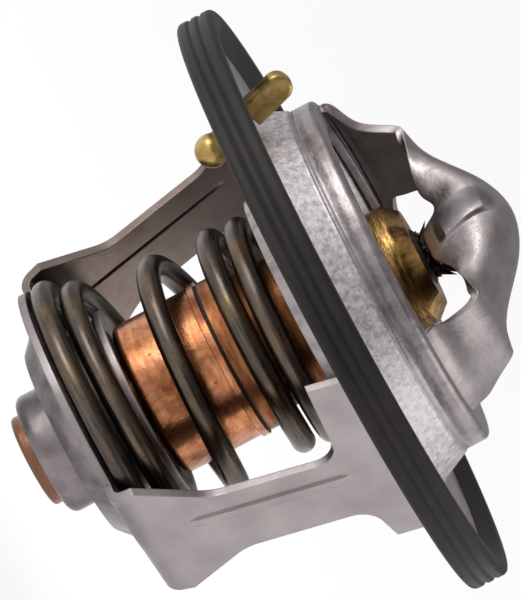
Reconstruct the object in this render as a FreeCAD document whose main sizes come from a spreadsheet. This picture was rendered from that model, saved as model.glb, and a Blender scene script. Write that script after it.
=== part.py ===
import FreeCAD, Part
import math
import os
import re

import Sketcher

# Engine thermostat: a wax element that opens a spring loaded valve.
# The origin is the centre of the seal ring, on the valve axis.
# +Z points to the bridge, +X to one leg of the bridge and of the lower frame.

doc = FreeCAD.newDocument("EngineThermostat")
sheet = doc.addObject("Spreadsheet::Sheet", "Sizes")

# Driving dimensions in millimetres and degrees
SIZES = {
    "flange_radius": "28",
    "body_wall": "0.8",
    "collar_base_radius": "19.6",
    "collar_cone_top": "3.6",
    "collar_step": "0.2",
    "collar_radius": "17.9",
    "rim_top": "6.3",
    "rim_bend": "0.6",
    "seat_radius": "15",
    "leg_radius": "16.6",
    "leg_half_width": "6.2",
    "leg_root_half_width": "9.5",
    "leg_root_shift": "1.1",
    "knee_radius": "12.6",
    "knee_top": "12.2",
    "crown_top": "18",
    "bell_reach": "13.8",
    "channel_half_width": "4.7",
    "channel_edge_top": "10.8",
    "pinch_half_width": "2.35",
    "pinch_top": "9.5",
    "pinch_flat": "1.2",
    "pinch_reach": "4.6",
    "pinch_shift": "1.4",
    "pinch_curl": "1",
    "channel_belly": "2.3",
    "seal_wall": "2",
    "seal_grip": "1.2",
    "seal_lean": "1.6",
    "seal_half_height": "1.85",
    "seal_groove": "0.2",
    "rib_pitch": "1",
    "rib_crest": "0.2",
    "seal_round": "0.55",
    "seal_lip_round": "0.3",
    "frame_wall": "0.8",
    "frame_leg_top_radius": "22.4",
    "frame_toe": "0.9",
    "frame_ear": "14",
    "frame_wing": "9.3",
    "frame_wing_drop": "5.2",
    "frame_waist": "4.1",
    "frame_waist_shift": "0.7",
    "frame_waist_top": "6.1",
    "frame_waist_bend": "4.8",
    "frame_wing_bend": "2.4",
    "frame_barb": "7.7",
    "frame_barb_drop": "24.6",
    "frame_flare": "6.4",
    "frame_root": "7.2",
    "bead_width": "0.9",
    "bead_depth": "0.25",
    "bead_start": "6",
    "bead_length": "15.5",
    "bead_shift": "0.65",
    "base_top": "26.15",
    "base_radius": "14.5",
    "dish_rim": "2.9",
    "floor_top": "28.2",
    "floor_radius": "9.4",
    "cup_radius": "6.1",
    "cup_end": "32.1",
    "cup_bend": "0.9",
    "guide_ring_radius": "9",
    "guide_ring_wall": "0.7",
    "guide_ring_top": "20.8",
    "guide_ring_lip": "9.8",
    "wire_radius": "1.15",
    "spring_top_radius": "10.5",
    "spring_base_radius": "13.7",
    "spring_turns": "4.7",
    "closed_pitch": "2.4",
    "spring_lean": "0.8",
    "spring_bow": "0.5",
    "valve_wall": "0.8",
    "valve_radius": "16.6",
    "valve_lip": "1.1",
    "valve_seat_gap": "0.15",
    "spring_seat_drop": "4",
    "spring_seat_radius": "12.4",
    "piston_radius": "1.4",
    "piston_end_drop": "6.1",
    "backup_length": "0.5",
    "plug_length": "2",
    "bore_gap": "0.05",
    "neck_radius": "4",
    "neck_top": "7.2",
    "press_gap": "0.02",
    "cap_radius": "6.1",
    "cap_shoulder": "7.1",
    "cap_top": "8.5",
    "cap_crown_radius": "4.9",
    "cap_wall": "1.25",
    "wiper_radius": "2.9",
    "wiper_length": "0.3",
    "collar_skirt_radius": "6.8",
    "skirt_flange_radius": "8",
    "skirt_flange_length": "2.4",
    "skirt_flange_step": "0.25",
    "seam_drop": "11.6",
    "cone_mouth_radius": "5.5",
    "diaphragm_radius": "7.6",
    "diaphragm_length": "0.3",
    "element_radius": "7.75",
    "element_wall": "0.8",
    "element_shoulder": "20.8",
    "element_lip": "0.7",
    "stem_radius": "4.6",
    "stem_end": "33.2",
    "stem_gap": "0.08",
    "notch_width": "1.1",
    "notch_depth": "0.3",
    "notch_length": "3.2",
    "notch_count": "12",
    "jiggle_hole_radius": "1.1",
    "jiggle_distance": "21.2",
    "jiggle_angle": "-111",
    "jiggle_lean": "18",
    "jiggle_shank_radius": "0.7",
    "jiggle_ball_radius": "1.65",
    "jiggle_ball_drop": "3.95",
    "paddle_drop": "0.95",
    "paddle_length": "5.1",
    "paddle_width": "2.8",
    "paddle_wall": "1.5",
    "paddle_edge": "0.35",
}

for row, (name, number) in enumerate(SIZES.items(), start=1):
    sheet.set(f"A{row}", name)
    sheet.set(f"B{row}", number)
    sheet.setAlias(f"B{row}", name)
doc.recompute()


def bound(text):
    """Sheet formula for a sum of size names."""
    return re.sub(r"[a-z][a-z_]*", lambda word: "Sizes." + word.group(0), text)


def origin_plane(body, role):
    return next(item for item in body.Origin.OriginFeatures if item.Role == role)


def new_body(name):
    body = doc.addObject("PartDesign::Body", name)
    body.Label = name
    return body


def outline(body, name, role, loops):
    """Sketch on an origin plane whose corners are bound to the sheet."""
    sketch = body.newObject("Sketcher::SketchObject", name)
    sketch.AttachmentSupport = (origin_plane(body, role), [""])
    sketch.MapMode = "FlatFace"
    for corners in loops:
        count = len(corners)
        first = sketch.GeometryCount
        start = [FreeCAD.Vector(math.cos(2 * math.pi * k / count),
                                math.sin(2 * math.pi * k / count), 0) for k in range(count)]
        for k in range(count):
            sketch.addGeometry(Part.LineSegment(start[k], start[(k + 1) % count]), False)
        for k in range(count):
            sketch.addConstraint(Sketcher.Constraint("Coincident", first + k, 2, first + (k + 1) % count, 1))
        for k, (across, up) in enumerate(corners):
            index = sketch.addConstraint(Sketcher.Constraint("DistanceX", -1, 1, first + k, 1, start[k].x))
            sketch.setExpression(f"Constraints[{index}]", bound(across))
            index = sketch.addConstraint(Sketcher.Constraint("DistanceY", -1, 1, first + k, 1, start[k].y))
            sketch.setExpression(f"Constraints[{index}]", bound(up))
    return sketch


def turned(body, name, corners):
    """Solid of revolution about the valve axis."""
    sketch = outline(body, name + "Profile", "XZ_Plane", [corners])
    turn = body.newObject("PartDesign::Revolution", name)
    turn.Profile = sketch
    turn.ReferenceAxis = (sketch, ["V_Axis"])
    turn.Angle = 360
    doc.recompute()
    return turn


def round_edges(body, name, edges, radius):
    """Fillet on the named edges of the body's last feature."""
    base = body.Tip
    fillet = body.newObject("PartDesign::Fillet", name)
    fillet.Base = (base, edges)
    fillet.setExpression("Radius", bound(radius))
    doc.recompute()
    return fillet


def ring_edges(shape, radius, height):
    """Names of the circular edges about the axis at this radius and height."""
    found = []
    for number, edge in enumerate(shape.Edges, start=1):
        if edge.Degenerated or edge.Curve.TypeId != "Part::GeomCircle":
            continue
        if abs(edge.Curve.Radius - radius) < 0.001 and abs(edge.BoundBox.Center.z - height) < 0.001:
            found.append(f"Edge{number}")
    return found


def straight_edges(shape, direction, places):
    """Names of the straight edges along a direction that pass through one of the places."""
    found = []
    for number, edge in enumerate(shape.Edges, start=1):
        if edge.Degenerated or edge.Curve.TypeId != "Part::GeomLine":
            continue
        if abs(edge.Curve.Direction.dot(direction)) < 0.999:
            continue
        middle = edge.BoundBox.Center
        if any((middle - place).cross(direction).Length < 0.01 for place in places):
            found.append(f"Edge{number}")
    return found


# Flange with its stepped collar and the inward seat lip

flange_form = new_body("flange_form")
turned(flange_form, "FlangeTurn", [
    ("flange_radius", "-body_wall / 2"),
    ("flange_radius", "body_wall / 2"),
    ("collar_base_radius", "body_wall / 2"),
    ("collar_radius + collar_step", "collar_cone_top"),
    ("collar_radius", "collar_cone_top + collar_step"),
    ("collar_radius", "rim_top"),
    ("seat_radius", "rim_top"),
    ("seat_radius", "rim_top - body_wall"),
    ("collar_radius - body_wall", "rim_top - body_wall"),
    ("collar_radius - body_wall", "collar_cone_top"),
    ("collar_base_radius - body_wall", "-body_wall / 2"),
])
rim_edges = ring_edges(flange_form.Shape, sheet.collar_radius, sheet.rim_top)
round_edges(flange_form, "RimBend", rim_edges, "rim_bend")
foot_edges = ring_edges(flange_form.Shape, sheet.collar_base_radius, sheet.body_wall / 2)
round_edges(flange_form, "FlangeBend", foot_edges, "rim_bend")

hole_sketch = flange_form.newObject("Sketcher::SketchObject", "JiggleHoleCircle")
hole_sketch.AttachmentSupport = (origin_plane(flange_form, "XY_Plane"), [""])
hole_sketch.MapMode = "FlatFace"
hole_sketch.addGeometry(Part.Circle(FreeCAD.Vector(0, -20, 0), FreeCAD.Vector(0, 0, 1), 1), False)
hole_places = [
    ("DistanceX", "jiggle_distance * cos(jiggle_angle * 1deg)", -8),
    ("DistanceY", "jiggle_distance * sin(jiggle_angle * 1deg)", -20),
]
for kind, formula, start in hole_places:
    index = hole_sketch.addConstraint(Sketcher.Constraint(kind, -1, 1, 0, 3, start))
    hole_sketch.setExpression(
        f"Constraints[{index}]",
        formula.replace("jiggle_distance", "Sizes.jiggle_distance").replace("jiggle_angle", "Sizes.jiggle_angle"))
index = hole_sketch.addConstraint(Sketcher.Constraint("Radius", 0, 1))
hole_sketch.setExpression(f"Constraints[{index}]", "Sizes.jiggle_hole_radius")
jiggle_hole = flange_form.newObject("PartDesign::Pocket", "JiggleHole")
jiggle_hole.Profile = hole_sketch
jiggle_hole.Type = "ThroughAll"
jiggle_hole.Midplane = True
doc.recompute()


# Bridge: one strip with two legs, a domed crown and flanks pinched in round the piston

def smooth(value, low, high):
    """Ease from 0 at low to 1 at high."""
    share = min(max((value - low) / (high - low), 0.0), 1.0)
    return share * share * (3 - 2 * share)


def bell(reach):
    """Height of the crown line at a distance from the axis."""
    lift = (1 + math.cos(math.pi * min(reach / sheet.bell_reach, 1.0))) / 2
    return sheet.knee_top + (sheet.crown_top - sheet.knee_top) * lift


def crown_line():
    """Middle line of the bridge from the axis out over the knee and down to the rim."""
    knee = sheet.knee_radius
    crown = [FreeCAD.Vector(knee * share / 6, 0, bell(knee * share / 6)) for share in range(6)]
    foot = FreeCAD.Vector(sheet.leg_radius, 0, sheet.rim_top - sheet.body_wall / 2)
    heel = foot + FreeCAD.Vector(0, 0, sheet.body_wall)
    bend = FreeCAD.Vector(knee, 0, bell(knee) - sheet.body_wall / 2)
    leg = [bend + (heel - bend) * share for share in (0.0, 0.3, 0.65, 1.0)]
    right = crown + leg + [foot]
    left = [FreeCAD.Vector(-place.x, 0, place.z) for place in reversed(right[1:])]
    line = Part.BSplineCurve()
    line.interpolate(left + right)
    return line


def bridge_surface(inset):
    """Outer sheet surface, or the inner one when inset is the wall."""
    line = crown_line()
    rows = 41
    columns = 13
    grid = []
    first = line.FirstParameter
    reach = line.LastParameter - first
    root_start = (sheet.knee_radius + sheet.leg_radius) / 2
    for row in range(rows):
        place = line.value(first + reach * row / (rows - 1))
        side = math.copysign(1.0, place.x)
        distance = abs(place.x)
        leg_share = smooth(distance, sheet.knee_radius - sheet.pinch_reach / 2, sheet.knee_radius + 1)
        low = smooth(distance, sheet.knee_radius, sheet.leg_radius)
        root = smooth(distance, root_start, sheet.leg_radius)
        wide = sheet.channel_half_width + (sheet.leg_half_width - sheet.channel_half_width) * low
        if side < 0:
            wide += (sheet.leg_root_half_width - sheet.leg_half_width) * root * root
        edge_rise = smooth(distance, sheet.pinch_reach, sheet.knee_radius)
        outer_top = sheet.channel_edge_top + (sheet.knee_top - sheet.channel_edge_top) * edge_rise
        narrow = 1 - smooth(distance, sheet.pinch_reach / 2, sheet.knee_radius - sheet.pinch_flat)
        belly = sheet.channel_belly * (1 - smooth(distance, sheet.pinch_reach / 2, sheet.knee_radius))
        inward = FreeCAD.Vector(-side * leg_share, 0, -leg_share * (1 - low) / 2)
        points = []
        for column in range(columns):
            share = 2 * column / (columns - 1) - 1
            pinch = 1 - smooth(abs(place.x + share * sheet.pinch_shift), sheet.pinch_flat, sheet.pinch_reach)
            fold = (place.x * share - sheet.pinch_reach / 2) / (sheet.pinch_flat + sheet.body_wall / 2)
            curl = sheet.pinch_curl * share * share * math.exp(-fold * fold)
            edge = wide - (sheet.channel_half_width - sheet.pinch_half_width) * narrow
            edge_top = outer_top - (sheet.channel_edge_top - sheet.pinch_top) * pinch + curl * (1 - pinch)
            crown_depth = max(place.z - edge_top, 0.0) * (1 - leg_share)
            wrap = distance - math.sqrt(max(distance ** 2 - edge ** 2, 0.0)) if distance > edge else 0.0
            wrap *= (1 + low) / 2
            across = share * edge + belly * math.sin(math.pi * share) - sheet.leg_root_shift * root
            drop = crown_depth * (1 - math.cos(math.pi * share / 2))
            point = place + inward * (wrap * share * share)
            points.append(point + FreeCAD.Vector(0, across, -drop))
        grid.append(points)
    surface = Part.BSplineSurface()
    surface.interpolate(grid)
    if inset == 0:
        return surface
    (u_low, u_high, v_low, v_high) = surface.bounds()
    crown_normal = surface.normal((u_low + u_high) / 2, (v_low + v_high) / 2)
    inward_step = -inset if crown_normal.z > 0 else inset
    moved = []
    for row in range(rows):
        u = u_low + (u_high - u_low) * row / (rows - 1)
        points = []
        for column in range(columns):
            v = v_low + (v_high - v_low) * column / (columns - 1)
            points.append(surface.value(u, v) + surface.normal(u, v) * inward_step)
        moved.append(points)
    inner = Part.BSplineSurface()
    inner.interpolate(moved)
    return inner


def sheet_between(top, bottom):
    """Closed solid between two surfaces with matching borders."""
    faces = [top.toShape(), bottom.toShape()]
    (u_low, u_high, v_low, v_high) = top.bounds()
    (p_low, p_high, q_low, q_high) = bottom.bounds()
    borders = [
        (top.uIso(u_low), bottom.uIso(p_low)),
        (top.uIso(u_high), bottom.uIso(p_high)),
        (top.vIso(v_low), bottom.vIso(q_low)),
        (top.vIso(v_high), bottom.vIso(q_high)),
    ]
    for upper, lower in borders:
        faces.append(Part.makeRuledSurface(upper.toShape(), lower.toShape()))
    shell = Part.Shell(Part.makeCompound(faces).Faces)
    shell.sewShape()
    solid = Part.Solid(Part.Shell(shell.Faces))
    if solid.Volume < 0:
        solid.reverse()
    return solid


bridge = doc.addObject("Part::Feature", "bridge_form")
bridge.Shape = sheet_between(bridge_surface(0), bridge_surface(sheet.body_wall))

flange_body = doc.addObject("Part::Fuse", "flange_body")
flange_body.Base = flange_form
flange_body.Tool = bridge
flange_body.Label = "flange_body"


# Rubber seal ring that grips the flange edge

seal_ring = new_body("seal_ring")
seal_rim = "flange_radius + seal_wall"
lip_foot = "flange_radius - seal_grip"
lip_end = "flange_radius - seal_grip + seal_lean"
turned(seal_ring, "SealTurn", [
    (lip_foot, "body_wall / 2"),
    (lip_end, "seal_half_height"),
    (seal_rim, "seal_half_height"),
    (seal_rim, "rib_pitch - rib_crest"),
    (seal_rim + " - seal_groove", "rib_pitch / 2"),
    (seal_rim, "rib_crest"),
    (seal_rim, "-rib_crest"),
    (seal_rim + " - seal_groove", "-rib_pitch / 2"),
    (seal_rim, "-rib_pitch + rib_crest"),
    (seal_rim, "-seal_half_height"),
    (lip_end, "-seal_half_height"),
    (lip_foot, "-body_wall / 2"),
    ("flange_radius", "-body_wall / 2"),
    ("flange_radius", "body_wall / 2"),
])
for name, across, size in [("SealRound", seal_rim, "seal_round"), ("LipRound", lip_end, "seal_lip_round")]:
    radius = sheet.flange_radius + sheet.seal_wall
    if name == "LipRound":
        radius = sheet.flange_radius - sheet.seal_grip + sheet.seal_lean
    edges = ring_edges(seal_ring.Shape, radius, sheet.seal_half_height)
    edges += ring_edges(seal_ring.Shape, radius, -sheet.seal_half_height)
    round_edges(seal_ring, name, edges, size)


# Lower frame: two leaning legs folded up from a dished base with a guide cup

lower_frame = new_body("lower_frame")
leg_base = "base_radius + frame_toe"
dish = "base_radius - dish_rim"


def leg_face(drop):
    """Formula for the radius of the leg's outer face at a drop below the seal."""
    lean = f"(frame_leg_top_radius - {leg_base}) / (base_top + frame_wall - body_wall / 2)"
    return f"{leg_base} + {lean} * (base_top + frame_wall - ({drop}))"


leg_base = "(" + leg_base + ")"
leg_side = [
    (dish, "-base_top - frame_wall"),
    (leg_base, "-base_top - frame_wall"),
    ("frame_leg_top_radius", "-body_wall / 2"),
    ("frame_leg_top_radius - frame_wall", "-body_wall / 2"),
    (leg_base + " - frame_wall", "-base_top"),
    (dish, "-base_top"),
]
other_side = [("-(" + across + ")", up) for across, up in leg_side]
leg_sketch = outline(lower_frame, "LegSide", "XZ_Plane", [leg_side, other_side])
legs = lower_frame.newObject("PartDesign::Pad", "Legs")
legs.Profile = leg_sketch
legs.Midplane = True
legs.setExpression("Length", "2 * Sizes.frame_ear")
doc.recompute()

along_y = FreeCAD.Vector(0, 1, 0)
base_low = -sheet.base_top - sheet.frame_wall
toe = sheet.base_radius + sheet.frame_toe
outer_bends = [FreeCAD.Vector(side * toe, 0, base_low) for side in (-1, 1)]
inner_bends = [FreeCAD.Vector(side * (toe - sheet.frame_wall), 0, -sheet.base_top) for side in (-1, 1)]
round_edges(lower_frame, "OuterBends", straight_edges(lower_frame.Shape, along_y, outer_bends), "2 * frame_wall")
round_edges(lower_frame, "InnerBends", straight_edges(lower_frame.Shape, along_y, inner_bends), "frame_wall")

# A pressed bead stiffens each leg: proud outside, sunk inside
bead_end = "bead_start + bead_length"
bead_out = [
    (leg_face("bead_start") + " - frame_wall / 2", "-bead_start"),
    (leg_face(bead_end) + " - frame_wall / 2", "-bead_start - bead_length"),
    (leg_face(bead_end), "-bead_start - bead_length"),
    (leg_face(bead_end + " - bead_width") + " + bead_depth", "-bead_start - bead_length + bead_width"),
    (leg_face("bead_start + bead_width") + " + bead_depth", "-bead_start - bead_width"),
    (leg_face("bead_start"), "-bead_start"),
]
bead_in = [
    (leg_face("bead_start") + " - 2 * frame_wall", "-bead_start"),
    (leg_face(bead_end) + " - 2 * frame_wall", "-bead_start - bead_length"),
    (leg_face(bead_end) + " - frame_wall", "-bead_start - bead_length"),
    (leg_face(bead_end + " - bead_width") + " - frame_wall + bead_depth", "-bead_start - bead_length + bead_width"),
    (leg_face("bead_start + bead_width") + " - frame_wall + bead_depth", "-bead_start - bead_width"),
    (leg_face("bead_start") + " - frame_wall", "-bead_start"),
]
for kind, name, half, width in [
    ("PartDesign::Pad", "BeadOutside", bead_out, "bead_width"),
    ("PartDesign::Pocket", "BeadInside", bead_in, "bead_width / 2"),
]:
    mirrored = [("-(" + across + ")", up) for across, up in half]
    bead_sketch = outline(lower_frame, name + "Side", "XZ_Plane", [half, mirrored])
    bead_sketch.setExpression("AttachmentOffset.Base.z", "Sizes.bead_shift")
    bead = lower_frame.newObject(kind, name)
    bead.Profile = bead_sketch
    bead.Midplane = True
    bead.setExpression("Length", bound(width))
    doc.recompute()


def leg_corners(low_wing, high_wing):
    """Waste on both sides of one leg: the wings at the top, the waist and the barbs."""
    loops = []
    for sign, wing in (("-", low_wing), ("", high_wing)):
        waist = f"frame_waist_shift + {sign}frame_waist"
        loops.append([
            (waist, "-frame_waist_top"),
            (waist, "-frame_barb_drop + frame_flare"),
            (f"frame_waist_shift + {sign}frame_barb", "-frame_barb_drop"),
            (f"frame_waist_shift + {sign}frame_root", "-base_top - 2 * frame_wall"),
            (f"{sign}2 * frame_ear", "-base_top - 2 * frame_wall"),
            (f"{sign}2 * frame_ear", "body_wall"),
            (f"{sign}{wing}", "body_wall"),
            (f"{sign}{wing}", "-frame_wing_drop"),
        ])
    return loops


plain_top = "(frame_waist - frame_waist_shift + frame_wing_bend * 1.2)"
for name, low_wing, high_wing, turned_round in [
    ("RightLegOutline", "frame_ear", "frame_wing", True),
    ("LeftLegOutline", plain_top, "frame_wing", False),
]:
    edge_sketch = outline(lower_frame, name + "Shape", "YZ_Plane", leg_corners(low_wing, high_wing))
    leg_cut = lower_frame.newObject("PartDesign::Pocket", name)
    leg_cut.Profile = edge_sketch
    leg_cut.Type = "ThroughAll"
    leg_cut.Reversed = turned_round
    doc.recompute()

along_x = FreeCAD.Vector(1, 0, 0)


def waist_places(drop):
    return [FreeCAD.Vector(0, sheet.frame_waist_shift + side * sheet.frame_waist, -drop) for side in (-1, 1)]


waist_top = straight_edges(lower_frame.Shape, along_x, waist_places(sheet.frame_waist_top))
round_edges(lower_frame, "WaistTop", waist_top, "frame_wing_bend")
flare_drop = sheet.frame_barb_drop - sheet.frame_flare
waist_base = straight_edges(lower_frame.Shape, along_x, waist_places(flare_drop))
round_edges(lower_frame, "WaistBase", waist_base, "frame_waist_bend")

turned(lower_frame, "BaseTurn", [
    ("stem_radius + stem_gap", "-cup_end"),
    ("cup_radius", "-cup_end"),
    ("cup_radius", "-floor_top - frame_wall"),
    ("floor_radius", "-floor_top - frame_wall"),
    (dish, "-base_top - frame_wall"),
    ("base_radius", "-base_top - frame_wall"),
    ("base_radius", "-base_top"),
    (dish, "-base_top"),
    ("floor_radius", "-floor_top"),
    ("cup_radius - frame_wall", "-floor_top"),
    ("cup_radius - frame_wall", "-cup_end + frame_wall"),
    ("stem_radius + stem_gap", "-cup_end + frame_wall"),
])
cup_edges = ring_edges(lower_frame.Shape, sheet.cup_radius, -sheet.cup_end)
round_edges(lower_frame, "CupBend", cup_edges, "cup_bend")


# Ring that stands on the base inside the spring and guides the element

spring_guide = new_body("spring_guide")
turned(spring_guide, "GuideTurn", [
    ("guide_ring_radius - guide_ring_wall", "-floor_top"),
    ("guide_ring_radius", "-floor_top"),
    ("guide_ring_radius", "-guide_ring_top - 2 * guide_ring_wall"),
    ("guide_ring_lip", "-guide_ring_top - guide_ring_wall"),
    ("guide_ring_lip", "-guide_ring_top"),
    ("guide_ring_radius", "-guide_ring_top"),
    ("guide_ring_radius - guide_ring_wall", "-guide_ring_top - guide_ring_wall"),
])


# Main spring: a left hand coil with closed ends, wider at the base

SPRING_START = 25
SPRING_LEAN_SIDE = -137


def spring_point(turn):
    """Middle of the wire after this many turns from the base."""
    turns = sheet.spring_turns
    low = -sheet.base_top + sheet.wire_radius + sheet.press_gap
    high = -sheet.spring_seat_drop - sheet.wire_radius - sheet.press_gap
    free = high - low - sheet.closed_pitch * turns
    rise = low + sheet.closed_pitch * turn + free * smooth(turn, turns * 0.234, turns * 0.723)
    narrow = smooth(turn, turns * 0.04, turns * 0.56)
    radius = sheet.spring_base_radius + (sheet.spring_top_radius - sheet.spring_base_radius) * narrow
    angle = math.radians(SPRING_START) - 2 * math.pi * turn
    middle = math.sin(math.pi * turn / turns) ** 2
    side = math.radians(SPRING_LEAN_SIDE)
    lean = sheet.spring_lean * middle * math.cos(angle - side)
    bow = sheet.spring_bow * middle
    return FreeCAD.Vector(radius * math.cos(angle) + bow * math.cos(side),
                          radius * math.sin(angle) + bow * math.sin(side), rise - lean)


def coiled_wire():
    steps = int(sheet.spring_turns * 16)
    path = Part.BSplineCurve()
    path.interpolate([spring_point(sheet.spring_turns * step / steps) for step in range(steps + 1)])
    start = spring_point(0)
    ahead = path.tangent(path.FirstParameter)[0]
    section = Part.Wire([Part.makeCircle(sheet.wire_radius, start, ahead)])
    return Part.Wire([path.toShape()]).makePipeShell([section], True, True)


main_spring = doc.addObject("Part::Feature", "main_spring")
main_spring.Label = "main_spring"
main_spring.Shape = coiled_wire()


# Piston held in the bridge, with the plate and plug that push on it

piston = new_body("piston")
turned(piston, "PistonTurn", [
    ("0", "-piston_end_drop"),
    ("piston_radius", "-piston_end_drop"),
    ("piston_radius", "crown_top - body_wall - piston_radius - 4 * bore_gap"),
    ("piston_radius / 2", "crown_top - body_wall - 4 * bore_gap"),
    ("0", "crown_top - body_wall - 4 * bore_gap"),
])

backup_plate = new_body("backup_plate")
turned(backup_plate, "BackupTurn", [
    ("0", "-piston_end_drop - backup_length"),
    ("piston_radius", "-piston_end_drop - backup_length"),
    ("piston_radius", "-piston_end_drop"),
    ("0", "-piston_end_drop"),
])

rubber_plug = new_body("rubber_plug")
turned(rubber_plug, "PlugTurn", [
    ("0", "-piston_end_drop - backup_length - plug_length"),
    ("piston_radius", "-piston_end_drop - backup_length - plug_length"),
    ("piston_radius", "-piston_end_drop - backup_length"),
    ("0", "-piston_end_drop - backup_length"),
])


# Valve plate: a deep cup whose lip closes on the seat from below

valve_plate = new_body("valve_plate")
turned(valve_plate, "ValveTurn", [
    ("neck_radius + press_gap", "-spring_seat_drop"),
    ("spring_seat_radius", "-spring_seat_drop"),
    ("valve_radius - valve_lip + valve_wall / 3", "rim_top - body_wall - valve_seat_gap - valve_wall - valve_lip / 2"),
    ("valve_radius", "rim_top - body_wall - valve_seat_gap - valve_wall"),
    ("valve_radius", "rim_top - body_wall - valve_seat_gap"),
    ("valve_radius - valve_lip", "rim_top - body_wall - valve_seat_gap"),
    ("spring_seat_radius - valve_wall", "-spring_seat_drop + valve_wall"),
    ("neck_radius + press_gap", "-spring_seat_drop + valve_wall"),
])


# Brass guide of the wax element, with its notched skirt and the neck that carries the valve

guide_body = new_body("guide_body")
turned(guide_body, "GuideBodyTurn", [
    ("cone_mouth_radius", "-seam_drop"),
    ("skirt_flange_radius - skirt_flange_step", "-seam_drop"),
    ("skirt_flange_radius - skirt_flange_step", "-seam_drop + skirt_flange_length"),
    ("collar_skirt_radius", "-seam_drop + skirt_flange_length"),
    ("collar_skirt_radius", "-spring_seat_drop"),
    ("neck_radius", "-spring_seat_drop"),
    ("neck_radius", "neck_top"),
    ("piston_radius + bore_gap", "neck_top"),
    ("piston_radius + bore_gap", "-piston_end_drop - backup_length - plug_length"),
])
notch_low = "-seam_drop + skirt_flange_length"
notch_sketch = outline(guide_body, "NotchOutline", "YZ_Plane", [[
    ("-notch_width / 2", notch_low),
    ("notch_width / 2", notch_low),
    ("notch_width / 2", notch_low + " + notch_length"),
    ("-notch_width / 2", notch_low + " + notch_length"),
]])
notch_sketch.AttachmentOffset = FreeCAD.Placement(FreeCAD.Vector(0, 0, 1), FreeCAD.Rotation())
notch_sketch.setExpression("AttachmentOffset.Base.z", "Sizes.collar_skirt_radius - Sizes.notch_depth")
notch = guide_body.newObject("PartDesign::Pocket", "Notch")
notch.Profile = notch_sketch
notch.Reversed = True
notch.setExpression("Length", "2 * Sizes.notch_depth")
doc.recompute()
notches = guide_body.newObject("PartDesign::PolarPattern", "Notches")
notches.Originals = [notch]
notches.Axis = (notch_sketch, ["V_Axis"])
notches.Angle = 360
notches.setExpression("Occurrences", "Sizes.notch_count")
guide_body.Tip = notches
doc.recompute()


# Turned brass cap pressed over the neck, clamping the valve plate

brass_cap = new_body("brass_cap")
turned(brass_cap, "CapTurn", [
    ("neck_radius + press_gap", "-spring_seat_drop + valve_wall"),
    ("cap_radius", "-spring_seat_drop + valve_wall"),
    ("cap_radius", "cap_shoulder"),
    ("cap_crown_radius", "cap_top"),
    ("piston_radius + 2 * bore_gap", "cap_top"),
    ("piston_radius + 2 * bore_gap", "cap_top - cap_wall"),
    ("neck_radius + press_gap", "cap_top - cap_wall"),
])

piston_wiper = new_body("piston_wiper")
turned(piston_wiper, "WiperTurn", [
    ("piston_radius + bore_gap", "cap_top"),
    ("wiper_radius", "cap_top"),
    ("wiper_radius - wiper_length", "cap_top + wiper_length"),
    ("piston_radius + bore_gap", "cap_top + wiper_length"),
])


# Inside of the wax element, from the piston down to the wax

transfer_fluid = new_body("transfer_fluid")
turned(transfer_fluid, "FluidTurn", [
    ("0", "-seam_drop"),
    ("cone_mouth_radius", "-seam_drop"),
    ("piston_radius", "-piston_end_drop - backup_length - plug_length"),
    ("0", "-piston_end_drop - backup_length - plug_length"),
])

diaphragm = new_body("diaphragm")
turned(diaphragm, "DiaphragmTurn", [
    ("0", "-seam_drop - diaphragm_length"),
    ("diaphragm_radius", "-seam_drop - diaphragm_length"),
    ("diaphragm_radius", "-seam_drop"),
    ("0", "-seam_drop"),
])

element_cup = new_body("element_cup")
turned(element_cup, "ElementTurn", [
    ("0", "-stem_end"),
    ("stem_radius", "-stem_end"),
    ("stem_radius", "-element_shoulder"),
    ("element_radius", "-element_shoulder"),
    ("element_radius", "-seam_drop - diaphragm_length - element_lip"),
    ("skirt_flange_radius", "-seam_drop - diaphragm_length - element_lip"),
    ("skirt_flange_radius", "-seam_drop - diaphragm_length"),
    ("element_radius - element_wall", "-seam_drop - diaphragm_length"),
    ("element_radius - element_wall", "-element_shoulder + element_wall"),
    ("stem_radius - element_wall", "-element_shoulder + element_wall"),
    ("stem_radius - element_wall", "-stem_end + element_wall"),
    ("0", "-stem_end + element_wall"),
])
shoulder_edges = ring_edges(element_cup.Shape, sheet.element_radius, -sheet.element_shoulder)
round_edges(element_cup, "ShoulderBend", shoulder_edges, "element_wall")
button_edges = ring_edges(element_cup.Shape, sheet.stem_radius, -sheet.stem_end)
round_edges(element_cup, "ButtonEdge", button_edges, "element_wall / 2")

wax_charge = new_body("wax_charge")
turned(wax_charge, "WaxTurn", [
    ("0", "-stem_end + element_wall"),
    ("stem_radius - element_wall", "-stem_end + element_wall"),
    ("stem_radius - element_wall", "-element_shoulder + element_wall"),
    ("element_radius - element_wall", "-element_shoulder + element_wall"),
    ("element_radius - element_wall", "-seam_drop - diaphragm_length"),
    ("0", "-seam_drop - diaphragm_length"),
])


# Jiggle pin: a ball below the flange and a flattened end above it, leaning outward

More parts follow.
